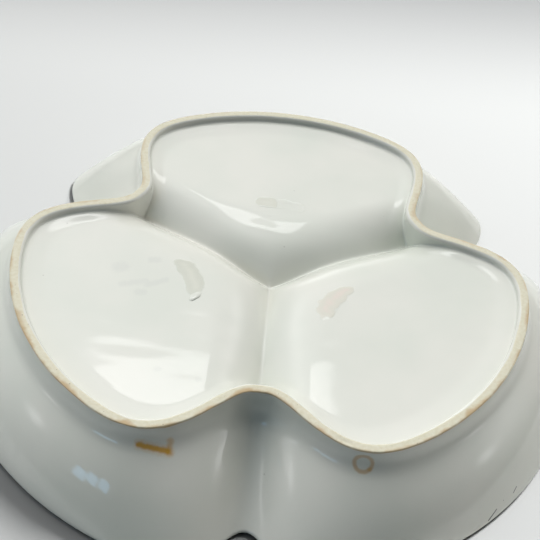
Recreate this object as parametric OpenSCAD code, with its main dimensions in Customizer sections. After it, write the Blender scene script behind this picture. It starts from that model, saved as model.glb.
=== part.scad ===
// Three-well candy dish: a trefoil porcelain shell on a bare foot ring.
// Upright, millimetres. Z is up, the foot stands on z = 0 and the axis of the three wells is x = y = 0.

/* [Overall] */
// Radius of the rim circle, out to the lobes
rim_r = 122; // [100:1:150]
// Height from the table to the top of the rim
total_h = 34; // [26:0.5:44]
// Thickness of the shell under the wells
shell_t = 4; // [2.5:0.1:5.5]

/* [Rim] */
// How far each rim notch reaches in from the rim circle
rim_notch = 19.5; // [8:0.5:26]
// Half width of a rim notch, measured along the rim circle
rim_notch_w = 14; // [10:0.5:20]
// Thickness of the rounded lip
lip_t = 3.4; // [2.2:0.1:4.4]
// Belly of the wall: 0 is a straight flare, 1 a square corner
wall_belly = 0.42; // [0.1:0.01:0.7]
// How much less belly the wall has in a notch, where it flares out like a spout
notch_flare = 0.5; // [0:0.05:0.8]
// How much higher the wall starts than the underside of the floors
wall_rise = 4; // [0:0.5:6]
// Share of the wall that is taken by the soft blend up from the foot
wall_blend = 0.12; // [0.06:0.01:0.3]

/* [Foot] */
// Radius of the foot's centre line at the lobes
foot_r = 97.5; // [84:0.5:104]
// How far each foot notch reaches in from the foot circle
foot_notch = 32; // [18:0.5:38]
// Half width of a foot notch, measured along the foot circle
foot_notch_w = 29; // [22:0.5:34]
// Width of the foot band
foot_w = 4; // [2.5:0.1:5.5]
// Height of the bare band at the bottom of the foot
bare_h = 1.4; // [1:0.1:2.4]
// Clearance under the well floors
floor_z = 3.2; // [2.8:0.1:8]

/* [Dividers] */
// Height of the hollow in the middle of the dish, above the underside of the floors
fold_h = 14; // [5:0.5:15]
// How much a divider sags between the middle and its notch, as a share of its height
fold_sag = 0.4; // [0:0.05:0.6]
// Width of a divider from floor to floor
fold_w = 42; // [28:1:48]
// Radius of the crease along the top of the hollow
crease_r = 1.2; // [0.8:0.1:4]
// Radius of the crest along the top of a divider
crest_r = 3.2; // [2:0.1:6]

/* [Prop scars] */
// Radius of the prop's ring, that the scars lie on
scar_ring_r = 35; // [34:0.5:48]
// How far the prop stood left of the middle
scar_ring_left = 1.5; // [0:0.5:3]
// How far the prop stood in front of the middle
scar_ring_front = 4.2; // [0:0.1:7]
// Length of a scar along the ring
scar_l = 22; // [10:0.5:25]
// Width of a scar
scar_w = 7; // [2.5:0.1:8]
// Thickness of a scar
scar_t = 0.3; // [0.2:0.05:0.6]
// Angle from the middle of a well to its scar
scar_turn = 4; // [0:0.5:12]

/* [Hidden] */
// Steps round the dish, and along each part of the section
steps = 108;
floor_steps = 13;
wall_steps = 8;
lip_steps = 4;
fillet_steps = 3;
blend_steps = 4;
// Fillet where the foot meets the floor
foot_fillet = min(3, 0.9 * (floor_z - bare_h));
// Radius of the crease where a hollow runs out under the wall
flute_r = 8;
// Half width of the flare in a notch, measured along the rim circle
flare_w = 1.3 * rim_notch_w;
// How far inside the foot's outer face the wall of a well starts, which keeps the wall as thick as the floors
well_in = 0.45 * shell_t + 1.9 * wall_rise;
// Shape of the notches: 2.6 is a broad round scallop, 2 a narrow round one
foot_shape = 2.6;
rim_shape = 2;
// How softly the inner corner of a well is rounded
corner_soft = 2.5;
// Share of the turn that is moved from the lobes to the notches
crowd = 0.35;
// Middle of the front well
front_turn = -90;
// How far the hump in the middle and the sag of the dividers reach from the middle
hump_r = 18;
sag_r = 58;
// Radius of the roll from a floor into the hollow under a divider
roll_r = (pow(fold_w / 2, 2) + fold_h * fold_h) / (2 * fold_h);

function unit(p) = p / norm(p);
// Angle from the nearest notch, 0 at a notch and 60 in the middle of a lobe
function off_notch(a) = abs((a - front_turn) - 120 * floor((a - front_turn) / 120) - 60);
function notched(a, r, depth, w, shape) =
    r - depth * exp(-pow(off_notch(a) / (w / r * 180 / PI), shape));
function polar(r, a) = [r * cos(a), r * sin(a)];
function foot_line(a) = polar(notched(a, foot_r, foot_notch, foot_notch_w, foot_shape), a);
function rim_line(a) = polar(notched(a, rim_r, rim_notch, rim_notch_w, rim_shape), a);
function foot_out(a) = let (t = foot_line(a + 0.5) - foot_line(a - 0.5)) unit([t[1], -t[0]]);
function rim_out(a) = let (t = rim_line(a + 0.5) - rim_line(a - 0.5)) unit([t[1], -t[0]]);
function foot_inside(a) = foot_line(a) - foot_w / 2 * foot_out(a);
function foot_outside(a) = foot_line(a) + foot_w / 2 * foot_out(a);

// Distance from the divider lines, rounded off where two dividers meet
function off_fold(p) =
    let (r = max(norm(p), 0.001))
    let (a = 60 - off_notch(atan2(p[1], p[0])))
    let (near = max(r * sin(60 - a), 0.001))
    let (far = r * sin(60 + a))
    pow(pow(near, -corner_soft) + pow(far, -corner_soft), -1 / corner_soft);
// Share of its height that a divider keeps at distance q from the middle
function kept(q) = 1 - fold_sag * (1 - exp(-pow(q / hump_r, 2))) * exp(-pow(q / sag_r, 4));
// Rise of a sheet above its floor, with roll radius r and edge radius e along the divider
function rise(p, r, e) =
    let (d = off_fold(p))
    let (in = min(max(fold_w / 2 - sqrt(d * d + e * e), 0), 0.97 * r))
    kept(norm(p)) * (r - sqrt(r * r - in * in));
function under_z(p) = floor_z + rise(p, roll_r, crease_r);
function well_z(p) = floor_z + shell_t + rise(p, roll_r - shell_t, crest_r);

// Angles crowd towards the notches, where the outline turns fastest
function turn(i) =
    let (u = front_turn + 360 * i / steps)
    u + crowd * sin(3 * (u - front_turn)) * 60 / PI;
function at(p, z) = [p[0], p[1], z];
function ring(f) = [for (i = [0:steps - 1]) f(turn(i))];
// Belly of the wall at angle a
function belly(a) =
    wall_belly - notch_flare * exp(-pow(off_notch(a) / (flare_w / rim_r * 180 / PI), 2));
// Share of the way out and up along a wall with belly b, and how steeply each grows
function wall_out(t, b) = t * (1 - t) * (1 + b) + t * t;
function wall_up(t, b) = t * (1 - t) * (1 - b) + t * t;
function wall_out_rate(t, b) = (1 - 2 * t) * (1 + b) + 2 * t;
function wall_up_rate(t, b) = (1 - 2 * t) * (1 - b) + 2 * t;
// Where the wall's tangent at t meets the foot's outer face, as a share of the wall's height
function tangent_foot(t, b) =
    wall_up(t, b) - wall_out(t, b) * wall_up_rate(t, b) / wall_out_rate(t, b);

// Section of the shell at angle a, from the middle of the underside out, over the rim and back to the middle
function section(a) =
    let (fi = foot_inside(a))
    let (fo = foot_outside(a))
    let (n = foot_out(a))
    let (rim = rim_line(a))
    let (m = rim_out(a))
    let (f = foot_fillet)
    let (lip_z = total_h - lip_t / 2)
    let (lip = rim - lip_t / 2 * m)
    let (b = belly(a))
    let (wall_z = floor_z + wall_rise + rise(fo, roll_r, flute_r))
    let (wall_h = lip_z - wall_z)
    let (corner_z = wall_z + tangent_foot(wall_blend, b) * wall_h)
    let (blend_out = wall_out(wall_blend, b) * (rim - fo))
    let (blend_z = wall_z + wall_up(wall_blend, b) * wall_h)
    let (in_start = fo - well_in * n)
    let (in_end = rim - lip_t * m)
    concat(
        [for (k = [1:floor_steps]) let (p = k / floor_steps * (fi - f * n)) at(p, under_z(p))],
        [for (k = [1:fillet_steps])
            let (c = 90 * k / fillet_steps)
            let (p = fi - f * (1 - sin(c)) * n)
            at(p, under_z(p) - f * (1 - cos(c)))],
        [at(fi, bare_h), at(fo, bare_h)],
        [for (k = [1:blend_steps - 1])
            let (u = k / blend_steps)
            at(fo + u * u * blend_out,
                (1 - u) * (1 - u) * bare_h + 2 * u * (1 - u) * corner_z + u * u * blend_z)],
        [for (k = [0:wall_steps])
            let (t = wall_blend + (1 - wall_blend) * k / wall_steps)
            at(fo + wall_out(t, b) * (rim - fo), wall_z + wall_up(t, b) * wall_h)],
        [for (k = [1:lip_steps])
            let (c = 180 * k / lip_steps)
            at(lip + lip_t / 2 * cos(c) * m, lip_z + lip_t / 2 * sin(c))],
        [for (k = [wall_steps - 1:-1:1])
            let (t = k / wall_steps)
            at(in_start + wall_out(t, b) * (in_end - in_start),
                well_z(in_start) + wall_up(t, b) * (lip_z - well_z(in_start)))],
        [for (k = [floor_steps:-1:1]) let (p = k / floor_steps * in_start) at(p, well_z(p))]
    );

module dish_shell() {
    rings = [for (i = [0:steps - 1]) section(turn(i))];
    rows = len(rings[0]);
    points = concat(
        [for (i = [0:steps - 1]) for (k = [0:rows - 1]) rings[i][k]],
        [[0, 0, under_z([0, 0])], [0, 0, well_z([0, 0])]]
    );
    under_pole = steps * rows;
    well_pole = under_pole + 1;
    sides = [
        for (i = [0:steps - 1])
            let (j = (i + 1) % steps)
            for (k = [0:rows - 2])
                for (half = [0, 1])
                    half == 0
                        ? [i * rows + k, i * rows + k + 1, j * rows + k + 1]
                        : [i * rows + k, j * rows + k + 1, j * rows + k]
    ];
    fans = [
        for (i = [0:steps - 1])
            let (j = (i + 1) % steps)
            for (half = [0, 1])
                half == 0
                    ? [under_pole, i * rows, j * rows]
                    : [well_pole, j * rows + rows - 1, i * rows + rows - 1]
    ];
    color("#e6e8e2") polyhedron(points = points, faces = concat(sides, fans), convexity = 8);
}

module foot_ring() {
    color("#d8cbb0")
        linear_extrude(height = bare_h)
            difference() {
                polygon(ring(function(a) foot_outside(a)));
                polygon(ring(function(a) foot_inside(a)));
            }
}

// A short arc of the prop's ring, with round ends, flat against the underside of a floor
module prop_scar(turn_to) {
    sweep = (scar_l - scar_w) / scar_ring_r * 180 / PI;
    color("#cbb9a2")
        translate([-scar_ring_left, -scar_ring_front, floor_z - scar_t])
            rotate([0, 0, turn_to + scar_turn - sweep / 2])
                union() {
                    rotate_extrude(angle = sweep, $fn = 180)
                        translate([scar_ring_r - scar_w / 2, 0]) square([scar_w, scar_t]);
                    for (a = [0, sweep])
                        rotate([0, 0, a])
                            translate([scar_ring_r, 0, 0])
                                cylinder(r = scar_w / 2, h = scar_t, $fn = 32);
                }
}

module front_prop_scar() {
    prop_scar(front_turn);
}

module right_prop_scar() {
    prop_scar(front_turn + 120);
}

module left_prop_scar() {
    prop_scar(front_turn + 240);
}

dish_shell();
foot_ring();
front_prop_scar();
right_prop_scar();
left_prop_scar();
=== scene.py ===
"""Three-well candy dish in glazed porcelain, turned over on its rim so that the foot shows.

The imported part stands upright, so the table of the main view lies against the rim, above the part, and the
camera looks up at the foot. A second floor under the foot serves the views from above.
"""
import logging
import math
from collections.abc import Callable, Iterator
from dataclasses import dataclass
from enum import Enum

import bmesh
import bpy
from mathutils import Matrix, Vector, noise


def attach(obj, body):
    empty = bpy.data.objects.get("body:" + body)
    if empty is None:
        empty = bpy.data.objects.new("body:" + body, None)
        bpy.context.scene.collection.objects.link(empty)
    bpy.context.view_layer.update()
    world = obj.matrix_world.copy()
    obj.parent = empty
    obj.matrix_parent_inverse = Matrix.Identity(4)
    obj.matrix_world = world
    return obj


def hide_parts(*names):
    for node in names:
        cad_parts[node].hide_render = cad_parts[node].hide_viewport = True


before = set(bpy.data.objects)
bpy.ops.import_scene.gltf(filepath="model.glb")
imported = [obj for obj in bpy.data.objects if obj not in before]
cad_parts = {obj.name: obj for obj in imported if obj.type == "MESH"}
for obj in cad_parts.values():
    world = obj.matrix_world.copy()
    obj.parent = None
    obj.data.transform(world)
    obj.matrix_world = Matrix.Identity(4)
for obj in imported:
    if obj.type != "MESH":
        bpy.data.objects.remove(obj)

Tree = bpy.types.NodeTree
Socket = bpy.types.NodeSocket
Material = bpy.types.Material
Colour = tuple[float, float, float, float]
Span = tuple[float, float]

LOG = logging.getLogger("candy_dish")
MM = 0.001
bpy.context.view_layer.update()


def linear(hex_colour: str) -> Colour:
    """Turns an sRGB hex colour into the linear colour that shaders take.

    Args:
        hex_colour: six hex digits after a hash sign.

    Returns:
        Linear red, green, blue and an alpha of 1.
    """
    parts = [int(hex_colour[i:i + 2], 16) / 255 for i in (1, 3, 5)]
    light = [c / 12.92 if c <= 0.04045 else ((c + 0.055) / 1.055) ** 2.4 for c in parts]
    return (light[0], light[1], light[2], 1.0)


def add(tree: Tree, kind: str, inputs: dict | None = None, **settings: object) -> bpy.types.Node:
    """Adds a node with its settings, socket values and links.

    Args:
        tree: the node tree that takes the node.
        kind: the node's type name.
        inputs: socket name or number to a value, or to the output socket that feeds it.
        settings: the node's own properties.

    Returns:
        The new node.
    """
    made = tree.nodes.new(kind)
    for name, value in settings.items():
        setattr(made, name, value)
    for socket, value in (inputs or {}).items():
        if isinstance(value, Socket):
            tree.links.new(value, made.inputs[socket])
        else:
            made.inputs[socket].default_value = value
    return made


def worked(tree: Tree, operation: str, *values: float | Socket) -> Socket:
    """Works out one number from others."""
    return add(tree, "ShaderNodeMath", dict(enumerate(values)), operation=operation).outputs[0]


def mixed(tree: Tree, share: Socket, under: Socket | Colour, over: Socket | Colour) -> Socket:
    """Mixes two colours by the share of the second one."""
    return add(tree, "ShaderNodeMix", {0: share, 6: under, 7: over}, data_type="RGBA").outputs[2]


def ranged(tree: Tree, value: Socket, span: Span, low: float = 0.0, high: float | Socket = 1.0,
           soft: bool = True) -> Socket:
    """Maps a number from a span onto another one and holds it at the ends.

    Args:
        tree: the node tree.
        value: the number.
        span: where the map starts and ends.
        low: the result at the start.
        high: the result at the end.
        soft: whether the map eases in and out.

    Returns:
        The mapped number.
    """
    inputs = {"Value": value, "From Min": span[0], "From Max": span[1], "To Min": low, "To Max": high}
    kind = "SMOOTHSTEP" if soft else "LINEAR"
    return add(tree, "ShaderNodeMapRange", inputs, interpolation_type=kind).outputs[0]


def clouds(tree: Tree, place: Socket, size_mm: float, detail: float) -> Socket:
    """Makes a soft noise over a surface, with patches of about the size given."""
    inputs = {"Vector": place, "Scale": 1 / (size_mm * MM), "Detail": detail}
    return add(tree, "ShaderNodeTexNoise", inputs).outputs["Fac"]


def bumped(tree: Tree, height: Socket, strength: float | Socket, deep_mm: float) -> Socket:
    """Makes the normal of a surface with a fine grain."""
    inputs = {"Height": height, "Strength": strength, "Distance": deep_mm * MM}
    return add(tree, "ShaderNodeBump", inputs).outputs["Normal"]


def surface(tree: Tree, colour: Socket, roughness: float | Socket, ior: float, normal: Socket) -> None:
    """Ends a material's nodes with its shader.

    Args:
        tree: the material's nodes.
        colour: the colour.
        roughness: the roughness.
        ior: the index of refraction.
        normal: the normal.
    """
    inputs = {"Base Color": colour, "Roughness": roughness, "IOR": ior, "Normal": normal}
    shader = add(tree, "ShaderNodeBsdfPrincipled", inputs)
    add(tree, "ShaderNodeOutputMaterial", {"Surface": shader.outputs["BSDF"]})


def metres(span: Span) -> Span:
    """Turns a span of millimetres into metres."""
    return span[0] * MM, span[1] * MM


class Side(Enum):
    """The wells, by where they lie in the upright dish, with the angle of each well's middle."""

    FRONT = -90
    RIGHT = 30
    LEFT = 150


@dataclass(frozen=True)
class Hollow:
    """A slight dent that pressing left in the underside: its middle, direction, half sizes and depth."""

    x: float
    y: float
    turn: float
    length: float
    width: float
    depth: float

    def at(self, p: Vector) -> float:
        """Depth of the dent at a point.

        Args:
            p: the point in the plane.

        Returns:
            The depth in millimetres, less than 0 on a swelling.
        """
        along = Vector((math.cos(math.radians(self.turn)), math.sin(math.radians(self.turn))))
        off = Vector((p.x - self.x, p.y - self.y))
        run, across = off.dot(along) / self.length, off.dot(along.orthogonal()) / self.width
        return self.depth * math.exp(-run * run - across * across)


@dataclass(frozen=True)
class DishForm:
    """Sizes of the dish in millimetres, as in the part's source, and the curves that follow from them."""

    rim_r: float = 122
    total_h: float = 34
    shell_t: float = 4
    rim_notch: float = 19.5
    rim_notch_w: float = 14
    lip_t: float = 3.4
    wall_belly: float = 0.42
    notch_flare: float = 0.5
    notch_flare_w: float = 1.3
    wall_rise: float = 4
    wall_blend: float = 0.12
    foot_r: float = 97.5
    foot_notch: float = 32
    foot_notch_w: float = 29
    foot_w: float = 4
    bare_h: float = 1.4
    floor_z: float = 3.2
    fold_h: float = 14
    fold_sag: float = 0.4
    hump_r: float = 18
    sag_r: float = 58
    fold_w: float = 42
    crease_r: float = 1.2
    crest_r: float = 3.2
    flute_r: float = 8
    foot_shape: float = 2.6
    rim_shape: float = 2
    corner_soft: float = 2.5
    # How far pressing left the floors and the wall uneven, and how long its waves are
    floor_wave: float = 0.06
    floor_wave_mm: Span = (34, 17)
    fine_wave: float = 1.1
    fine_wave_mm: Span = (26, 7)
    wall_wave: float = 0.07
    wall_wave_mm: float = 24
    hollows: tuple[Hollow, ...] = (
        Hollow(-5, -25, 12, 15, 4.5, 0.25),
        Hollow(-5, -23.8, 12, 9, 2.4, -0.25),
    )
    # Slight cove of the floors up to the foot: its height and its width
    cove_h: float = 0.7
    cove_w: float = 9

    @property
    def roll_r(self) -> float:
        """Radius of the roll from a floor into the hollow under a divider."""
        return ((self.fold_w / 2) ** 2 + self.fold_h ** 2) / (2 * self.fold_h)

    @property
    def fillet(self) -> float:
        """Fillet where the foot meets the floor."""
        return min(3.0, 0.9 * (self.floor_z - self.cove_h - self.bare_h))

    @property
    def well_in(self) -> float:
        """How far inside the foot's outer face the wall of a well starts."""
        return 0.45 * self.shell_t + 1.9 * self.wall_rise

    def off_notch(self, turn: float) -> float:
        """Degrees from the nearest notch, 0 at a notch and 60 in the middle of a lobe."""
        return abs((turn - Side.FRONT.value) % 120 - 60)

    def notched(self, turn: float, r: float, depth: float, width: float, shape: float) -> Vector:
        """Point of a circle with three notches.

        Args:
            turn: angle round the dish in degrees.
            r: radius of the circle.
            depth: how far a notch reaches in.
            width: half width of a notch along the circle.
            shape: 2.6 is a broad scallop and 2 a narrow round one.

        Returns:
            The point in the plane.
        """
        half = math.degrees(width / r)
        reach = r - depth * math.exp(-((self.off_notch(turn) / half) ** shape))
        return Vector((reach * math.cos(math.radians(turn)), reach * math.sin(math.radians(turn))))

    def foot_line(self, turn: float) -> Vector:
        """Centre line of the foot."""
        return self.notched(turn, self.foot_r, self.foot_notch, self.foot_notch_w, self.foot_shape)

    def rim_line(self, turn: float) -> Vector:
        """Outer edge of the rim."""
        return self.notched(turn, self.rim_r, self.rim_notch, self.rim_notch_w, self.rim_shape)

    def outward(self, line: Callable[[float], Vector], turn: float) -> Vector:
        """Unit vector square to a line round the dish, pointing out."""
        along = line(turn + 0.5) - line(turn - 0.5)
        return Vector((along.y, -along.x)).normalized()

    def off_fold(self, p: Vector) -> float:
        """Distance from the divider lines, rounded off where two dividers meet.

        Args:
            p: the point in the plane.

        Returns:
            The distance in millimetres.
        """
        r = max(p.length, 0.001)
        a = math.radians(60 - self.off_notch(math.degrees(math.atan2(p.y, p.x))))
        near = max(r * math.sin(math.radians(60) - a), 0.001)
        far = r * math.sin(math.radians(60) + a)
        soft = self.corner_soft
        return (near ** -soft + far ** -soft) ** (-1 / soft)

    def rise(self, p: Vector, roll: float, edge: float) -> float:
        """Rise of a sheet above its floor where it rolls up into a divider.

        Args:
            p: the point in the plane.
            roll: radius of the roll.
            edge: how far the crest of the divider is rounded.

        Returns:
            The rise in millimetres.
        """
        reach = max(self.fold_w / 2 - math.hypot(self.off_fold(p), edge), 0.0)
        past_hump = 1 - math.exp(-((p.length / self.hump_r) ** 2))
        kept = 1 - self.fold_sag * past_hump * math.exp(-((p.length / self.sag_r) ** 4))
        return kept * (roll - math.sqrt(roll * roll - reach * reach))

    def under_z(self, p: Vector) -> float:
        """Height of the underside."""
        return self.floor_z + self.rise(p, self.roll_r, self.crease_r)

    def pressed_z(self, p: Vector) -> float:
        """Height of the underside with the slight waves and dents that pressing leaves.

        Args:
            p: the point in the plane.

        Returns:
            The height in millimetres.
        """
        (long_x, long_y), (fine_x, fine_y) = self.floor_wave_mm, self.fine_wave_mm
        wave = noise.noise(Vector((p.x / long_x, p.y / long_y, 3.1)))
        wave += self.fine_wave * noise.noise(Vector((p.x / fine_x, p.y / fine_y, 7.7)))
        return self.under_z(p) + self.floor_wave * wave + sum(dent.at(p) for dent in self.hollows)

    def well_z(self, p: Vector) -> float:
        """Height of the inside of the wells."""
        return self.floor_z + self.shell_t + self.rise(p, self.roll_r - self.shell_t, self.crest_r)

    def belly(self, turn: float) -> float:
        """Belly of the wall, which flares out like a spout in a notch."""
        half = math.degrees(self.notch_flare_w * self.rim_notch_w / self.rim_r)
        return self.wall_belly - self.notch_flare * math.exp(-((self.off_notch(turn) / half) ** 2))

    def wall(self, turn: float, t: float) -> tuple[float, float]:
        """Shares of the way out and up along the wall."""
        b = self.belly(turn)
        return t * (1 - t) * (1 + b) + t * t, t * (1 - t) * (1 - b) + t * t

    def blend(self, turn: float, u: float) -> tuple[float, float, float]:
        """Soft blend from the foot into the wall.

        Args:
            turn: angle round the dish in degrees.
            u: 0 at the foot and 1 where the wall takes over.

        Returns:
            The share of the way out along the wall, and how much the foot's edge and the wall's height
            weigh in the height.
        """
        b, t = self.belly(turn), self.wall_blend
        out, up = self.wall(turn, t)
        rate = ((1 - 2 * t) * (1 - b) + 2 * t) / ((1 - 2 * t) * (1 + b) + 2 * t)
        return u * u * out, (1 - u) ** 2, 2 * u * (1 - u) * (up - out * rate) + u * u * up


FORM = DishForm()


@dataclass(frozen=True)
class Loop:
    """One closed loop of a swept skin: its place at each angle, its place across the skin, and its edge."""

    place: Callable[[float], Vector]
    across: float = 0.0
    hard: bool = False


CROWDING = 0.35


def spread(turn: float) -> float:
    """Crowds evenly spaced angles towards the notches, where the outline turns fastest."""
    return turn + CROWDING * math.degrees(math.sin(math.radians(3 * (turn - Side.FRONT.value)))) / 3


def sweep_skin(bm: bmesh.types.BMesh, loops: list[Loop], steps: int) -> list[list[bmesh.types.BMVert]]:
    """Extrudes a circle from loop to loop and moves each new ring to its place.

    Args:
        bm: the empty mesh that takes the skin.
        loops: the loops in order.
        steps: vertices in each loop.

    Returns:
        The vertices of each loop.
    """
    angle = bm.verts.layers.float.new("turn")
    across = bm.verts.layers.float.new("across")
    bmesh.ops.create_circle(bm, segments=steps, radius=1)
    for vert in bm.verts:
        vert[angle] = spread(math.degrees(math.atan2(vert.co.y, vert.co.x)))
    edges = list(bm.edges)
    rings = []
    for loop in loops:
        if rings:
            grown = bmesh.ops.extrude_edge_only(bm, edges=edges)["geom"]
            verts = [g for g in grown if isinstance(g, bmesh.types.BMVert)]
            fresh = set(verts)
            edges = [g for g in grown if isinstance(g, bmesh.types.BMEdge) and fresh.issuperset(g.verts)]
        else:
            verts = list(bm.verts)
        for vert in verts:
            vert.co = loop.place(vert[angle]) * MM
            vert[across] = loop.across
        for edge in edges:
            edge.smooth = not loop.hard
        rings.append(verts)
    return rings


def finish_piece(bm: bmesh.types.BMesh, name: str, material: Material, slot: str, *nodes: str) -> None:
    """Makes a mesh into a piece of the dish that stands for its CAD nodes.

    Args:
        bm: the finished mesh, which is freed.
        name: the piece's name.
        material: its finish.
        slot: the record's material slot; not used.
        nodes: the CAD nodes that it replaces.
    """
    bmesh.ops.recalc_face_normals(bm, faces=bm.faces)
    for face in bm.faces:
        face.smooth = True
    mesh = bpy.data.meshes.new(name)
    bm.to_mesh(mesh)
    bm.free()
    mesh.materials.append(material)
    piece = bpy.data.objects.new(name, mesh)
    bpy.context.scene.collection.objects.link(piece)
    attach(piece, "root")
    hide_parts(*nodes)
    LOG.info("%s: %d faces", name, len(mesh.polygons))


@dataclass(frozen=True)
class Stroke:
    """A mark on a surface: a soft line between two points in millimetres, or a ring where it is hollow."""

    start: tuple[float, float, float]
    end: tuple[float, float, float]
    width: float
    colour: str
    strength: float
    hollow: float = 0.0
    ragged: float = 0.6
    # Share of the width that is at full strength
    core: float = 0.2

    def paint(self, tree: Tree, place: Socket, rough: Socket, under: Socket) -> Socket:
        """Paints the mark over a colour.

        Args:
            tree: the material's nodes.
            place: where the surface is, in metres.
            rough: a noise that frays the edge.
            under: the colour below.

        Returns:
            The colour with the mark on it.
        """
        start, run = Vector(self.start) * MM, (Vector(self.end) - Vector(self.start)) * MM
        off = add(tree, "ShaderNodeVectorMath", {0: place, 1: start}, operation="SUBTRACT").outputs[0]
        share = run / max(run.length_squared, MM * MM)
        along = add(tree, "ShaderNodeVectorMath", {0: off, 1: share}, operation="DOT_PRODUCT")
        held = add(tree, "ShaderNodeClamp", {"Value": along.outputs["Value"]}).outputs[0]
        nearest = add(tree, "ShaderNodeVectorMath", {0: run, "Scale": held}, operation="SCALE").outputs[0]
        gap = add(tree, "ShaderNodeVectorMath", {0: off, 1: nearest}, operation="DISTANCE").outputs["Value"]
        fray = self.ragged * self.width * MM
        gap = worked(tree, "MULTIPLY_ADD", rough, fray, gap)
        if self.hollow:
            gap = worked(tree, "ABSOLUTE", worked(tree, "SUBTRACT", gap, self.hollow * MM + fray / 2))
            fray = 0.0
        edge, full = self.width * MM + fray / 2, self.core * self.width * MM + fray / 2
        mask = ranged(tree, gap, (edge, full), high=self.strength)
        return mixed(tree, mask, under, linear(self.colour))


@dataclass(frozen=True)
class GlazeFinish:
    """Clear glaze over pressed white porcelain: a smooth wet gloss with a faint grey-green cast.

    The glaze pools a little unevenly, so its tint drifts over a few centimetres, and the odd pinhole and
    stain of long use show in it.
    """

    body: str = "#ecece2"
    pooled: str = "#e4e7dc"
    pinhole: str = "#8d8a7c"
    roughness: float = 0.06
    ior: float = 1.5
    drift_mm: float = 45
    drift_span: Span = (0.35, 0.65)
    pinhole_mm: float = 16
    pinhole_span: Span = (0.030, 0.015)
    pinhole_show: float = 0.25
    fray_mm: float = 1.6
    ripple_mm: float = 9
    ripple_deep: float = 0.05
    ripple_show: float = 0.35
    marks: tuple[Stroke, ...] = ()

    def colour(self, tree: Tree, place: Socket) -> Socket:
        """Makes the glaze's drifting tint with its pinholes and marks.

        Args:
            tree: the material's nodes.
            place: where the surface is, in metres.

        Returns:
            The colour.
        """
        drift = ranged(tree, clouds(tree, place, self.drift_mm, 3.0), self.drift_span, soft=False)
        tint = mixed(tree, drift, linear(self.body), linear(self.pooled))
        cells = add(tree, "ShaderNodeTexVoronoi", {"Vector": place, "Scale": 1 / (self.pinhole_mm * MM)})
        hole = ranged(tree, cells.outputs["Distance"], self.pinhole_span, high=self.pinhole_show)
        tint = mixed(tree, hole, tint, linear(self.pinhole))
        rough = clouds(tree, place, self.fray_mm, 2.0)
        for mark in self.marks:
            tint = mark.paint(tree, place, rough, tint)
        return tint

    def ripple(self, tree: Tree, place: Socket) -> Socket:
        """Makes the fine ripple of fired glaze, far below a tenth of a millimetre deep."""
        return bumped(tree, clouds(tree, place, self.ripple_mm, 2.0), self.ripple_show, self.ripple_deep)

    def build(self) -> Material:
        """Makes the material.

        Returns:
            The glaze, with its marks.
        """
        made, tree, place = fresh_material("glazed_porcelain")
        surface(tree, self.colour(tree, place), self.roughness, self.ior, self.ripple(tree, place))
        return made


def fresh_material(name: str) -> tuple[Material, Tree, Socket]:
    """Starts a material with no nodes but its coordinates.

    Args:
        name: the material's name.

    Returns:
        The material, its nodes and the socket that says where the surface is, in metres.
    """
    made = bpy.data.materials.new(name)
    made.use_nodes = True
    made.node_tree.nodes.clear()
    return made, made.node_tree, add(made.node_tree, "ShaderNodeTexCoord").outputs["Object"]


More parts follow.
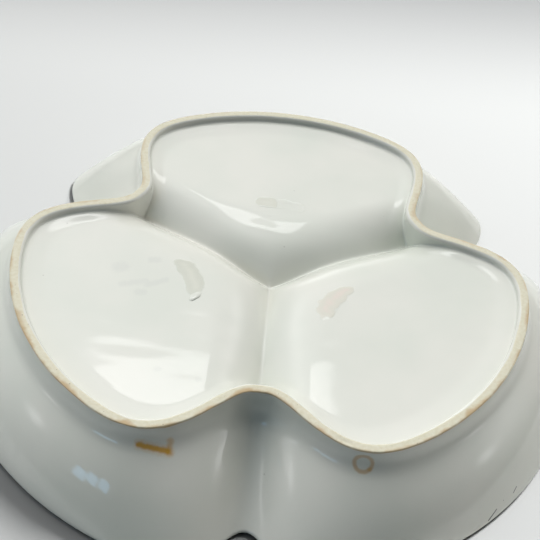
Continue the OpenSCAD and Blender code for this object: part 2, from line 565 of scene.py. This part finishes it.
@dataclass(frozen=True)
class BareClayFinish:
    """Bare fired clay, ground flat: a dry cream band, tanned by dirt towards its outer edge.

    The glaze laps over its rims, so they shine.
    """

    glaze: GlazeFinish
    clay: str = "#ece8d2"
    warm: str = "#e2dcc0"
    dirt: str = "#cbb083"
    speck: str = "#7d6c4c"
    roughness: float = 0.6
    fine_mm: float = 1.4
    warm_span: Span = (0.3, 0.7)
    patch_mm: float = 10
    # How much the patches move the dirt across the band, where it starts and is full, and its most
    dirt_patchy: float = 2.4
    dirt_span: Span = (1.3, 2.0)
    dirt_most: float = 0.9
    # The back of the band is cleaner: from here to there the dirt grows from its least share
    dirt_back: Span = (-90, 20)
    dirt_least: float = 0.25
    speck_mm: float = 2.6
    speck_size: float = 0.14
    speck_show: float = 0.5
    # Place across the band of the middle of its bare part, further out than the band's own middle
    bare_middle: float = 0.15
    lap_waver: float = 0.5
    lap_span: Span = (0.78, 0.88)
    grain_show: float = 0.5
    grain_deep: float = 0.08

    def build(self) -> Material:
        """Makes the material.

        Returns:
            The bare clay, which reads the place across the band from the mesh.
        """
        made, tree, place = fresh_material("bare_fired_clay")
        across = add(tree, "ShaderNodeAttribute", attribute_name="across").outputs["Fac"]
        patch = clouds(tree, place, self.patch_mm, 4.0)
        fine = clouds(tree, place, self.fine_mm, 3.0)
        warmth = ranged(tree, fine, self.warm_span, soft=False)
        tint = mixed(tree, warmth, linear(self.clay), linear(self.warm))
        # Dirt lies in patches on the outer half of the band
        outer = worked(tree, "MULTIPLY_ADD", patch, self.dirt_patchy, across)
        worn = ranged(tree, outer, self.dirt_span, high=self.dirt_most)
        back_y = add(tree, "ShaderNodeSeparateXYZ", {0: place}).outputs["Y"]
        kept = ranged(tree, back_y, metres(self.dirt_back), self.dirt_least, soft=False)
        tint = mixed(tree, worked(tree, "MULTIPLY", worn, kept), tint, linear(self.dirt))
        cells = add(tree, "ShaderNodeTexVoronoi", {"Vector": place, "Scale": 1 / (self.speck_mm * MM)})
        size = worked(tree, "MULTIPLY", patch, self.speck_size)
        speck = worked(tree, "LESS_THAN", cells.outputs["Distance"], size)
        tint = mixed(tree, worked(tree, "MULTIPLY", speck, self.speck_show), tint, linear(self.speck))
        # The glaze laps over both edges of the band in a wavering line
        side = worked(tree, "ABSOLUTE", worked(tree, "SUBTRACT", across, self.bare_middle))
        lap = worked(tree, "MULTIPLY_ADD", patch, self.lap_waver, side)
        lapped = ranged(tree, lap, self.lap_span, soft=False)
        tint = mixed(tree, lapped, tint, linear(self.glaze.body))
        gloss = ranged(tree, lapped, (0, 1), self.roughness, self.glaze.roughness, soft=False)
        surface(tree, tint, gloss, self.glaze.ior, bumped(tree, fine, self.grain_show, self.grain_deep))
        return made


@dataclass(frozen=True)
class PropGritFinish:
    """Kiln-prop grit that melted into the glaze: a dull film that clears to glaze at its edge."""

    glaze: GlazeFinish
    name: str
    film: str
    edge: str
    cover: float
    roughness: float = 0.35
    patch_mm: float = 3.5
    fray: float = 0.7
    cover_span: Span = (0.36, 0.66)
    film_span: Span = (0.8, 1.3)
    grain_mm: float = 0.7
    grain_deep: float = 0.04

    def build(self) -> Material:
        """Makes the material.

        Returns:
            The grit, which reads the share of film from the mesh.
        """
        made, tree, place = fresh_material(f"kiln_prop_grit_{self.name}")
        body = self.glaze.colour(tree, place)
        film = add(tree, "ShaderNodeAttribute", attribute_name="film").outputs["Fac"]
        patch = clouds(tree, place, self.patch_mm, 4.0)
        frayed = worked(tree, "MULTIPLY_ADD", patch, self.fray, film)
        cover = ranged(tree, frayed, self.cover_span, high=self.cover)
        depth = ranged(tree, frayed, self.film_span, soft=False)
        tint = mixed(tree, cover, body, mixed(tree, depth, linear(self.edge), linear(self.film)))
        dull = ranged(tree, cover, (0, 1), self.glaze.roughness, self.roughness, soft=False)
        grain = clouds(tree, place, self.grain_mm, 2.0)
        surface(tree, tint, dull, self.glaze.ior, bumped(tree, grain, cover, self.grain_deep))
        return made


@dataclass
class DishShell:
    """The moulded shell: three wells, hollow dividers, fluted wall, rim and the glazed upper foot."""

    form: DishForm
    steps: int = 420
    under_steps: int = 66
    fillet_steps: int = 10
    wall_steps: int = 40
    lip_steps: int = 10
    inner_steps: int = 22
    well_steps: int = 34

    def loops(self) -> Iterator[Loop]:
        """Runs from the middle of the underside out, over the rim and back to the middle of the wells.

        Returns:
            The loops of the skin, in order.
        """
        form = self.form
        lip_z = form.total_h - form.lip_t / 2

        def foot(turn: float, off: float) -> Vector:
            """Point beside the foot's centre line."""
            return form.foot_line(turn) + off * form.outward(form.foot_line, turn)

        def under(turn: float, share: float) -> Vector:
            """Point of the underside of the floors, with their cove at the foot.

            Args:
                turn: angle round the dish in degrees.
                share: 0 in the middle of the dish and 1 at the foot's fillet.

            Returns:
                The point.
            """
            edge = foot(turn, -form.foot_w / 2 - form.fillet)
            near = max(1 - (1 - share) * edge.length / form.cove_w, 0.0)
            p = share * edge
            return Vector((p.x, p.y, form.pressed_z(p) - form.cove_h * near * near * (3 - 2 * near)))

        def inner_fillet(turn: float, bend: float) -> Vector:
            """Point of the fillet from the floor into the foot."""
            p = foot(turn, -form.foot_w / 2 - form.fillet * (1 - math.sin(bend)))
            return Vector((p.x, p.y, form.pressed_z(p) - form.cove_h - form.fillet * (1 - math.cos(bend))))

        def seat(turn: float, side: int) -> Vector:
            """Edge of the seat of the foot ring."""
            p = foot(turn, side * form.foot_w / 2)
            return Vector((p.x, p.y, form.bare_h))

        def outer_wall(turn: float, t: float) -> Vector:
            """Point of the outer wall, which starts with a soft blend up from the foot.

            Args:
                turn: angle round the dish in degrees.
                t: 0 at the foot and 1 at the lip.

            Returns:
                The point.
            """
            start = foot(turn, form.foot_w / 2)
            wall_z = form.floor_z + form.wall_rise + form.rise(start, form.roll_r, form.flute_r)
            out, up = form.wall(turn, t)
            low = 0.0
            if t < form.wall_blend:
                out, low, up = form.blend(turn, t / form.wall_blend)
            p = start + out * (form.rim_line(turn) - start)
            z = wall_z + up * (lip_z - wall_z) + low * (form.bare_h - wall_z)
            size = form.wall_wave_mm
            wave = math.sin(math.pi * t) * noise.noise(Vector((p.x / size, p.y / size, z / size)))
            return Vector((p.x, p.y, z + form.wall_wave * wave))

        def lip(turn: float, bend: float) -> Vector:
            """Point of the round lip.

            Args:
                turn: angle round the dish in degrees.
                bend: 0 at the outer wall and half a turn at the inner one, in radians.

            Returns:
                The point.
            """
            out = form.outward(form.rim_line, turn)
            p = form.rim_line(turn) - form.lip_t / 2 * (1 - math.cos(bend)) * out
            return Vector((p.x, p.y, lip_z + form.lip_t / 2 * math.sin(bend)))

        def inner_wall(turn: float, t: float) -> Vector:
            """Point of the inner wall.

            Args:
                turn: angle round the dish in degrees.
                t: 0 at the well and 1 at the lip.

            Returns:
                The point.
            """
            start = foot(turn, form.foot_w / 2 - form.well_in)
            end = form.rim_line(turn) - form.lip_t * form.outward(form.rim_line, turn)
            out, up = form.wall(turn, t)
            p = start + out * (end - start)
            z = form.well_z(start)
            return Vector((p.x, p.y, z + up * (lip_z - z)))

        def well(turn: float, share: float) -> Vector:
            """Point of the inside of the wells."""
            p = share * foot(turn, form.foot_w / 2 - form.well_in)
            return Vector((p.x, p.y, form.well_z(p)))

        for k in range(self.under_steps + 1):
            yield Loop(lambda a, s=k / self.under_steps: under(a, s))
        for k in range(1, self.fillet_steps + 1):
            yield Loop(lambda a, b=math.pi / 2 * k / self.fillet_steps: inner_fillet(a, b))
        yield Loop(lambda a: seat(a, -1), hard=True)
        yield Loop(lambda a: seat(a, 1), hard=True)
        for k in range(1, self.wall_steps + 1):
            yield Loop(lambda a, t=k / self.wall_steps: outer_wall(a, t))
        for k in range(1, self.lip_steps):
            yield Loop(lambda a, b=math.pi * k / self.lip_steps: lip(a, b))
        for k in range(self.inner_steps, 0, -1):
            yield Loop(lambda a, t=k / self.inner_steps: inner_wall(a, t))
        for k in range(self.well_steps, -1, -1):
            yield Loop(lambda a, s=k / self.well_steps: well(a, s))

    def build(self, material: Material) -> None:
        """Makes the shell.

        Args:
            material: the glaze.
        """
        bm = bmesh.new()
        rings = sweep_skin(bm, list(self.loops()), self.steps)
        for ring in (rings[0], rings[-1]):
            bmesh.ops.pointmerge(bm, verts=ring, merge_co=ring[0].co.copy())
        finish_piece(bm, "glazed_shell", material, "glaze", "dish_shell")


@dataclass(frozen=True)
class Chip:
    """A nick in the foot ring: its angle, its place across the band, half its length and its depth."""

    turn: float
    across: float
    length: float
    depth: float
    width: float = 0.3

    def at(self, turn: float, across: float, r: float) -> float:
        """Depth of the nick at a point of the band.

        Args:
            turn: angle round the dish in degrees.
            across: place across the band, from -1 inside to 1 outside.
            r: distance from the axis of the dish.

        Returns:
            The depth in millimetres.
        """
        along = math.radians((turn - self.turn + 180) % 360 - 180) * r / self.length
        over = (across - self.across) / self.width
        return self.depth * math.exp(-along ** 4 - over * over)


@dataclass
class FootRing:
    """The bare band that the dish stands on, with worn, rounded and nicked edges."""

    form: DishForm
    inner_r: float = 1.3
    outer_r: float = 0.45
    steps: int = 960
    edge_steps: int = 6
    flat_steps: int = 6
    waver: float = 0.14
    waver_mm: float = 6
    chips: tuple[Chip, ...] = (
        Chip(109.4, 0.85, 1.8, 0.7),
        Chip(-151.8, 0.8, 1.3, 0.7),
        Chip(-46.5, 0.9, 1.6, 0.5),
        Chip(-15.1, 0.9, 1.5, 0.6),
        Chip(70.5, 0.2, 2.0, 0.25),
        Chip(34.0, 0.9, 2.2, 0.4),
    )

    def profile(self) -> Iterator[tuple[float, float, float]]:
        """Section of the band, from the inner seam to the outer one.

        Returns:
            The offset, the height and the place across the band of each loop.
        """
        half, top = self.form.foot_w / 2, self.form.bare_h
        inner, outer = self.inner_r, self.outer_r
        bends = [math.pi / 2 * k / self.edge_steps for k in range(self.edge_steps + 1)]
        line = [(-half, top)]
        line += [(-half + inner * (1 - math.cos(b)), inner * (1 - math.sin(b))) for b in bends]
        flat = self.form.foot_w - inner - outer
        line += [(line[-1][0] + flat / self.flat_steps * k, 0.0) for k in range(1, self.flat_steps)]
        line += [(half - outer * (1 - math.sin(b)), outer * (1 - math.cos(b))) for b in bends]
        line.append((half, top))
        steps = [math.dist(a, b) for a, b in zip(line, line[1:])]
        for k, (off, z) in enumerate(line):
            yield off, z, 2 * sum(steps[:k]) / sum(steps) - 1

    def place(self, turn: float, off: float, z: float, across: float) -> Vector:
        """Point of the band, which wavers a little and has its nicks.

        Args:
            turn: angle round the dish in degrees.
            off: offset from the band's centre line.
            z: height.
            across: place across the band, from -1 inside to 1 outside.

        Returns:
            The point.
        """
        form = self.form
        middle = form.foot_line(turn)
        sunk = sum(chip.at(turn, across, middle.length) for chip in self.chips)
        worn = max(0.0, 1 - abs(z - form.bare_h / 2) / (form.bare_h / 2))
        spot = Vector((middle.x / self.waver_mm, middle.y / self.waver_mm, 5.0 + across))
        drift = self.waver * worn * noise.noise(spot)
        p = middle + (off + drift) * form.outward(form.foot_line, turn)
        return Vector((p.x, p.y, min(z + sunk, form.bare_h)))

    def build(self, material: Material) -> None:
        """Makes the band.

        Args:
            material: bare clay.
        """
        bm = bmesh.new()
        loops = [Loop(lambda a, o=off, h=z, c=across: self.place(a, o, h, c), across, z == self.form.bare_h)
                 for off, z, across in self.profile()]
        sweep_skin(bm, loops, self.steps)
        ends = [e for e in bm.edges if e.is_boundary]
        bmesh.ops.bridge_loops(bm, edges=ends)
        finish_piece(bm, "bare_foot_ring", material, "bare_clay", "foot_ring")


@dataclass
class PropScar:
    """A short curved patch of kiln-prop grit under one well: a film with a raised rim and a drop of glaze.

    The film covers it from one place along it to another. It swells towards one end and bows to the axis.
    """

    form: DishForm
    side: Side
    film_from: float = -12
    film_to: float = 12
    film_fade: float = 2
    swell: float = 0.0
    bow: float = 0.0
    drop_at: tuple[float, float] = (0.0, 0.0)
    drop_high: float = 0.0
    drop_size: tuple[float, float] = (1.5, 3.0)
    ring_r: float = 35
    ring_left: float = 1.5
    ring_front: float = 4.2
    length: float = 22
    width: float = 7
    thick: float = 0.10
    rim_high: float = 0.07
    sunk: float = 0.03
    # Shares of the half width: the film's soft edge, the rim's middle and width, and the sunk edge
    soft_edge: float = 0.35
    rim_at: float = 0.16
    rim_wide: float = 0.10
    sunk_edge: float = 0.08
    # How far above the floor the patch is rooted in the shell
    root: float = 0.6
    margin: float = 1.2
    waver: float = 0.22
    waver_mm: float = 3.1
    turn_off: float = 4
    cells: tuple[int, int] = (120, 46)

    def inside(self, run: float, across: float) -> float:
        """How far inside the scar's outline a point lies.

        Args:
            run: millimetres along the scar from its middle.
            across: millimetres out from its centre line.

        Returns:
            1 on the centre line, 0 on the outline and less than 0 outside it.
        """
        past = max(abs(run) - (self.length - self.width) / 2, 0.0)
        worn = noise.noise(Vector((run / self.waver_mm, across / self.waver_mm, self.side.value)))
        half = self.width / 2 * (1 + self.swell * run / self.length)
        return 1 - math.hypot(past, across) / half - self.waver * worn

    def high(self, run: float, across: float) -> tuple[float, float]:
        """How far the scar stands off the glaze at a point, and how much film lies there.

        Args:
            run: millimetres along the scar from its middle.
            across: millimetres out from its centre line.

        Returns:
            The height in millimetres, less than 0 where the scar is sunk in the shell, and the share of
            film.
        """
        depth = self.inside(run, across)
        edge = min(run - self.film_from, self.film_to - run)
        held = min(max(edge / self.film_fade + 0.5, 0.0), 1.0)
        soft = min(max(depth / self.soft_edge, 0.0), 1.0)
        rim = self.rim_high * math.exp(-((depth - self.rim_at) / self.rim_wide) ** 2)
        stood = held * self.thick * soft * soft * (3 - 2 * soft) + rim if depth > 0 else 0.0
        blob = math.hypot((run - self.drop_at[0]) / self.drop_size[0],
                          (across - self.drop_at[1]) / self.drop_size[1])
        drop = self.drop_high * math.sqrt(max(1 - blob * blob, 0.0))
        sunk = self.sunk * min(max(1 - depth / self.sunk_edge, 0.0), 1.0)
        return max(stood - sunk, drop - self.sunk), held * max(depth, 0.0) if drop <= 0 else 0.0

    def build(self, material: Material) -> None:
        """Makes the scar.

        Args:
            material: prop grit.
        """
        bm = bmesh.new()
        film = bm.verts.layers.float.new("film")
        bmesh.ops.create_grid(bm, x_segments=self.cells[0], y_segments=self.cells[1], size=1)
        middle = math.radians(self.side.value + self.turn_off)
        half_l, half_w = self.length / 2 + self.margin, self.width / 2 + self.margin
        for vert in bm.verts:
            run, across = vert.co.x * half_l, vert.co.y * half_w
            bowed = self.bow * (1 - (2 * run / self.length) ** 2)
            turn, r = middle + run / self.ring_r, self.ring_r + across - bowed
            p = Vector((r * math.cos(turn) - self.ring_left, r * math.sin(turn) - self.ring_front))
            high, vert[film] = self.high(run, across)
            vert.co = Vector((p.x, p.y, self.form.pressed_z(p) - high)) * MM
        grown = bmesh.ops.extrude_face_region(bm, geom=bm.faces[:])["geom"]
        for g in grown:
            if isinstance(g, bmesh.types.BMVert):
                g.co.z = (self.form.floor_z + self.root) * MM
        name = self.side.name.lower()
        finish_piece(bm, f"{name}_scar", material, "prop_grit", f"{name}_prop_scar")


@dataclass(frozen=True)
class Glow:
    """A soft patch of the room's light: its direction, how bright its middle is and how tight it is."""

    azimuth: float
    elevation: float
    strength: float
    tightness: float


@dataclass(frozen=True)
class SoftBox:
    """A crisp source that the glaze mirrors: its direction, distance, size, brightness and colour."""

    name: str
    azimuth: float
    elevation: float
    away: float
    size: tuple[float, float]
    glow: float
    colour: str = "#ffffff"


def direction(azimuth: float, elevation: float) -> Vector:
    """Unit vector to a light, from degrees right of straight behind the dish and above the table."""
    az, el = math.radians(azimuth), math.radians(elevation)
    return Vector((math.sin(az) * math.cos(el), math.cos(az) * math.cos(el), math.sin(el)))


@dataclass(frozen=True)
class Studio:
    """Table, lamps and camera, placed as the turned-over dish is seen: x right, y away, z up."""

    form: DishForm
    elevation: float = 42.08
    roll: float = 6.48
    distance: float = 446.4
    pan: float = 0.13
    tilt: float = 0.46
    swing: float = 0.56
    lens: float = 76.97
    sensor: float = 36
    # How far the floors lie off the dish and how far they reach
    clearance: float = 0.05
    reach: float = 3000
    table_steps: int = 240
    floor_steps: int = 96
    floor_colour: str = "#f3f3f0"
    floor_glow: float = 0.75
    backdrop: str = "#f2f2ef"
    table_colour: str = "#808180"
    # Colours of the painted shade on the table, far behind the dish and in front of it
    table_far_shade: str = "#5a5b5b"
    table_front_shade: str = "#3b3c3b"
    # Painted shade on the table: where it darkens far off, in front and round the front notch
    far_shade_span: Span = (-160, -340)
    front_shade_span: Span = (120, 200)
    notch_y: float = 114
    notch_shade: Span = (15, 24)
    notch_shade_most: float = 0.65
    glows: tuple[Glow, ...] = (
        Glow(-45, 8, 0.5, 20),
        Glow(-10, 6, 2.2, 60),
        Glow(15, 8, 0.4, 20),
        Glow(-21, 57, 0.8, 80),
        Glow(27, 36, 1.6, 120),
        Glow(-27, 36, 1.2, 120),
        Glow(76, 26, 1.4, 40),
        Glow(91, 22, 3.2, 400),
        Glow(-97, 27, 3.2, 400),
        Glow(45, 8, 0.7, 20),
        Glow(-80, 18, 1.15, 12),
        Glow(80, 18, 0.65, 12),
        Glow(-65, 42, 1.4, 12),
        Glow(-22, 42, 2.45, 12),
        Glow(22, 42, 1.25, 12),
        Glow(65, 42, 0.75, 12),
        Glow(-90, 65, 0.2, 12),
        Glow(-30, 65, 0.75, 12),
        Glow(30, 65, 0.25, 12),
        Glow(0, 88, 0.15, 12),
    )
    boxes: tuple[SoftBox, ...] = (
        SoftBox("window", -4, 52.8, 3.0, (0.72, 0.54), 3.1),
        SoftBox("sky_pane_a", -127, 23, 3.0, (0.32, 0.48), 3.6, "#97d2fb"),
        SoftBox("sky_pane_b", -134, 26.5, 3.0, (0.32, 0.48), 3.6, "#97d2fb"),
        SoftBox("sky_pane_c", -142, 29, 3.0, (0.32, 0.48), 3.6, "#97d2fb"),
    )
    table_lamp: SoftBox = SoftBox("table_lamp", 42, 45, 1.6, (0.44, 0.44), 165.0)

    def turned(self) -> Matrix:
        """Turn from the turned-over view into the part's own frame."""
        return Matrix.Rotation(math.pi, 3, "X") @ Matrix.Rotation(math.radians(-self.swing), 3, "Z")

    def camera(self) -> None:
        """Makes the camera.

        It stands in front of the turned-over dish and above it, a little rolled.
        """
        el, roll = math.radians(self.elevation), math.radians(self.roll)
        place = Vector((0, -math.cos(el), math.sin(el))) * self.distance * MM
        ahead = -place.normalized()
        right = Vector((1, 0, 0))
        up = right.cross(ahead)
        right, up = (math.cos(roll) * right + math.sin(roll) * up,
                     -math.sin(roll) * right + math.cos(roll) * up)
        pan = Matrix.Rotation(math.radians(self.pan), 3, "Y")
        tilt = Matrix.Rotation(math.radians(self.tilt), 3, "X")
        rows = pan @ tilt @ Matrix((right, -up, ahead))
        axes = Matrix((rows[0], -rows[1], -rows[2])).transposed()
        data = bpy.data.cameras.new("camera")
        data.lens = self.lens
        data.sensor_width = self.sensor
        made = bpy.data.objects.new("camera", data)
        turned = self.turned()
        made.matrix_world = Matrix.LocRotScale(turned @ place, (turned @ axes).to_quaternion(), None)
        bpy.context.scene.collection.objects.link(made)
        bpy.context.scene.camera = made

    def lamp(self, box: SoftBox, upright: bool = False) -> bpy.types.Object:
        """Adds a soft box that points at the dish.

        Args:
            box: the soft box.
            upright: whether it hangs over the upright dish, and not over the turned one.

        Returns:
            The lamp.
        """
        name = f"{box.name}_above" if upright else box.name
        data = bpy.data.lights.new(name, "AREA")
        data.shape = "RECTANGLE"
        data.size, data.size_y = box.size
        data.energy = box.glow * math.pi * box.size[0] * box.size[1]
        data.color = linear(box.colour)[:3]
        made = bpy.data.objects.new(name, data)
        spot = box.away * direction(box.azimuth, box.elevation)
        if not upright:
            spot = self.turned() @ spot
        made.location = spot
        made.rotation_mode = "QUATERNION"
        made.rotation_quaternion = (-spot).to_track_quat("-Z", "Y")
        made.visible_camera = False
        bpy.context.scene.collection.objects.link(made)
        LOG.info("%s: %.1f W", name, data.energy)
        return made

    def floor(self, name: str, bm: bmesh.types.BMesh, faces_down: bool, near: str, far: str,
              front: str, own_glow: float = 0.0) -> bpy.types.Object:
        """Makes a mesh into a floor that shows from one side only, with shade painted into its colour.

        Args:
            name: the floor's name.
            bm: its mesh, which is freed.
            faces_down: whether it shows from below.
            near: its colour by the dish.
            far: its colour far behind the turned-over dish, where a shade is painted.
            front: its colour in front of the turned-over dish and round its front notch, where a shade is
                painted.
            own_glow: share of its paleness that no shadow takes away.

        Returns:
            The floor.
        """
        bm.normal_update()
        wrong = [f for f in bm.faces if (f.normal.z > 0) == faces_down]
        bmesh.ops.reverse_faces(bm, faces=wrong)
        mesh = bpy.data.meshes.new(name)
        bm.to_mesh(mesh)
        bm.free()
        made, tree, place = fresh_material(name)
        # Painted shade: the colour darkens far behind the dish, in front of it and round the front notch
        back_y = add(tree, "ShaderNodeSeparateXYZ", {0: place}).outputs["Y"]
        far_shade_share = ranged(tree, back_y, metres(self.far_shade_span))
        tint = mixed(tree, far_shade_share, linear(near), linear(far))
        painted_shade = ranged(tree, back_y, metres(self.front_shade_span))
        notch = Vector((0, self.notch_y, self.form.total_h)) * MM
        off = add(tree, "ShaderNodeVectorMath", {0: place, 1: notch}, operation="DISTANCE").outputs["Value"]
        painted_shade = ranged(tree, off, metres(self.notch_shade), self.notch_shade_most, painted_shade)
        tint = mixed(tree, painted_shade, tint, linear(front))
        shown = add(tree, "ShaderNodeBsdfDiffuse", {"Color": tint})
        bright = add(tree, "ShaderNodeEmission", {"Color": tint})
        shown = add(tree, "ShaderNodeMixShader", {0: own_glow, 1: shown.outputs[0], 2: bright.outputs[0]})
        clear = add(tree, "ShaderNodeBsdfTransparent")
        back = add(tree, "ShaderNodeNewGeometry").outputs["Backfacing"]
        mix = add(tree, "ShaderNodeMixShader", {0: back, 1: shown.outputs[0], 2: clear.outputs[0]})
        add(tree, "ShaderNodeOutputMaterial", {"Surface": mix.outputs[0]})
        mesh.materials.append(made)
        floor = bpy.data.objects.new(name, mesh)
        bpy.context.scene.collection.objects.link(floor)
        return floor

    def table(self) -> bpy.types.Object:
        """Adds the table that the turned-over dish rests on, open inside the rim.

        Returns:
            The table.
        """
        z = self.form.total_h + self.clearance
        line = self.form.rim_line

        def edge(turn: float) -> Vector:
            """Point under the middle of the lip."""
            p = line(turn) - self.form.lip_t / 2 * self.form.outward(line, turn)
            return Vector((p.x, p.y, z))

        def far(turn: float) -> Vector:
            """Point of the table's far edge."""
            a = math.radians(turn)
            return Vector((self.reach * math.cos(a), self.reach * math.sin(a), z))

        bm = bmesh.new()
        sweep_skin(bm, [Loop(edge), Loop(far)], self.table_steps)
        return self.floor("table", bm, True, self.table_colour, self.table_far_shade, self.table_front_shade)

    def lower_floor(self) -> None:
        """Adds the floor that the upright dish stands on.

        Only the eye sees it, so it takes no part in the light on the dish.
        """
        bm = bmesh.new()
        bmesh.ops.create_circle(bm, cap_ends=True, segments=self.floor_steps, radius=self.reach * MM)
        bmesh.ops.translate(bm, verts=bm.verts, vec=(0, 0, -self.clearance * MM))
        pale = self.floor_colour
        made = self.floor("lower_floor", bm, False, pale, pale, pale, self.floor_glow)
        made.visible_shadow = False
        made.visible_diffuse = False
        made.visible_glossy = False

    def room(self) -> None:
        """Sets the soft light of the room behind a white backdrop.

        Each glow falls off from its own direction, and the light is the same over both floors.
        """
        made = bpy.data.worlds.new("soft_room")
        made.use_nodes = True
        tree = made.node_tree
        tree.nodes.clear()
        way = add(tree, "ShaderNodeTexCoord").outputs["Generated"]
        parts = add(tree, "ShaderNodeSeparateXYZ", {0: way}).outputs
        down = worked(tree, "MULTIPLY", worked(tree, "ABSOLUTE", parts["Z"]), -1.0)
        way = add(tree, "ShaderNodeCombineXYZ", {0: parts["X"], 1: parts["Y"], 2: down}).outputs[0]
        total = 0.0
        for glow in self.glows:
            to = self.turned() @ direction(glow.azimuth, glow.elevation)
            dot = add(tree, "ShaderNodeVectorMath", {0: way, 1: to}, operation="DOT_PRODUCT")
            fall = worked(tree, "MULTIPLY_ADD", dot.outputs["Value"], glow.tightness, -glow.tightness)
            total = worked(tree, "MULTIPLY_ADD", worked(tree, "EXPONENT", fall), glow.strength, total)
        light = add(tree, "ShaderNodeBackground", {"Strength": total})
        white = add(tree, "ShaderNodeBackground", {"Color": linear(self.backdrop), "Strength": 1.0})
        ray = add(tree, "ShaderNodeLightPath").outputs["Is Camera Ray"]
        mix = add(tree, "ShaderNodeMixShader", {0: ray, 1: light.outputs[0], 2: white.outputs[0]})
        add(tree, "ShaderNodeOutputWorld", {"Surface": mix.outputs[0]})
        bpy.context.scene.world = made

    def build(self) -> None:
        """Makes the camera, the floors and the light.

        The table has a lamp of its own, which lights nothing else.
        """
        self.camera()
        table = self.table()
        self.lower_floor()
        self.room()
        for box in self.boxes:
            self.lamp(box)
        self.lamp(self.boxes[0], upright=True)
        alone = bpy.data.collections.new("table_alone")
        alone.objects.link(table)
        self.lamp(self.table_lamp).light_linking.receiver_collection = alone


AMBER, RUST, SCUFF, GREY = "#d9a437", "#c99b45", "#3f423e", "#cdcfc9"

# Stains under the foot, scuffs near the rim and faint smears on the floors
GLAZE_MARKS = (
    Stroke((-38.4, 90.1, 7.1), (-28.6, 90.1, 8.9), 1.5, AMBER, 0.85),
    Stroke((-38.0, 90.1, 7.1), (-28.2, 90.3, 9.1), 2.8, AMBER, 0.35),
    Stroke((-28.0, 90.2, 9.2), (-28.0, 87.9, 6.6), 2.0, AMBER, 0.5),
    Stroke((36.8, 89.2, 5.6), (36.8, 89.2, 5.6), 1.1, RUST, 0.55, hollow=3.0),
    Stroke((39.0, 90.6, 7.0), (39.4, 90.6, 7.0), 1.4, RUST, 0.5),
    Stroke((94.7, 74.3, 28.3), (93.7, 76.3, 29.3), 0.35, SCUFF, 0.8),
    Stroke((89.6, 80.6, 28.7), (89.6, 80.6, 28.7), 0.35, SCUFF, 0.5),
    Stroke((87.1, 84.0, 29.8), (84.4, 87.7, 31.6), 0.45, SCUFF, 0.8),
    Stroke((-58.4, 9.3, 3.2), (-57.0, 9.0, 3.2), 4.2, GREY, 0.22),
    Stroke((-46.4, 3.4, 3.2), (-44.4, 3.0, 3.2), 2.6, GREY, 0.22),
    Stroke((-55.5, 18.4, 3.2), (-47.1, 15.4, 3.2), 2.4, GREY, 0.22),
    Stroke((-46.0, 17.4, 3.2), (-39.7, 13.7, 3.2), 2.2, GREY, 0.22),
    Stroke((-49.0, 21.8, 3.2), (-47.2, 21.4, 3.2), 2.6, GREY, 0.22),
    Stroke((-36.4, 59.1, 3.2), (-36.0, 59.1, 3.2), 2.1, GREY, 0.22),
    Stroke((-21.9, 62.2, 3.2), (-21.5, 62.2, 3.2), 1.9, GREY, 0.22),
)


def main() -> None:
    """Builds the dish and its studio.
    """
    bpy.context.scene.view_settings.view_transform = "Standard"
    plain = GlazeFinish()
    DishShell(FORM).build(GlazeFinish(marks=GLAZE_MARKS).build())
    FootRing(FORM).build(BareClayFinish(plain).build())
    left = PropGritFinish(plain, "left", "#dbdccd", "#d3d5c6", 0.85).build()
    right = PropGritFinish(plain, "right", "#e7dccf", "#e0ddce", 0.85).build()
    front = PropGritFinish(plain, "front", "#dfe0d2", "#dcddce", 0.8).build()
    PropScar(FORM, Side.LEFT, width=8.5, bow=3, rim_high=0.03, waver=0.15, drop_at=(-11.0, 1.2),
             drop_high=0.45).build(left)
    PropScar(FORM, Side.RIGHT, width=8, swell=0.6, bow=3, rim_high=0.02).build(right)
    PropScar(FORM, Side.FRONT, film_to=-2).build(front)
    Studio(FORM).build()


if __name__ == "__main__":
    logging.basicConfig(level=logging.INFO)
    main()
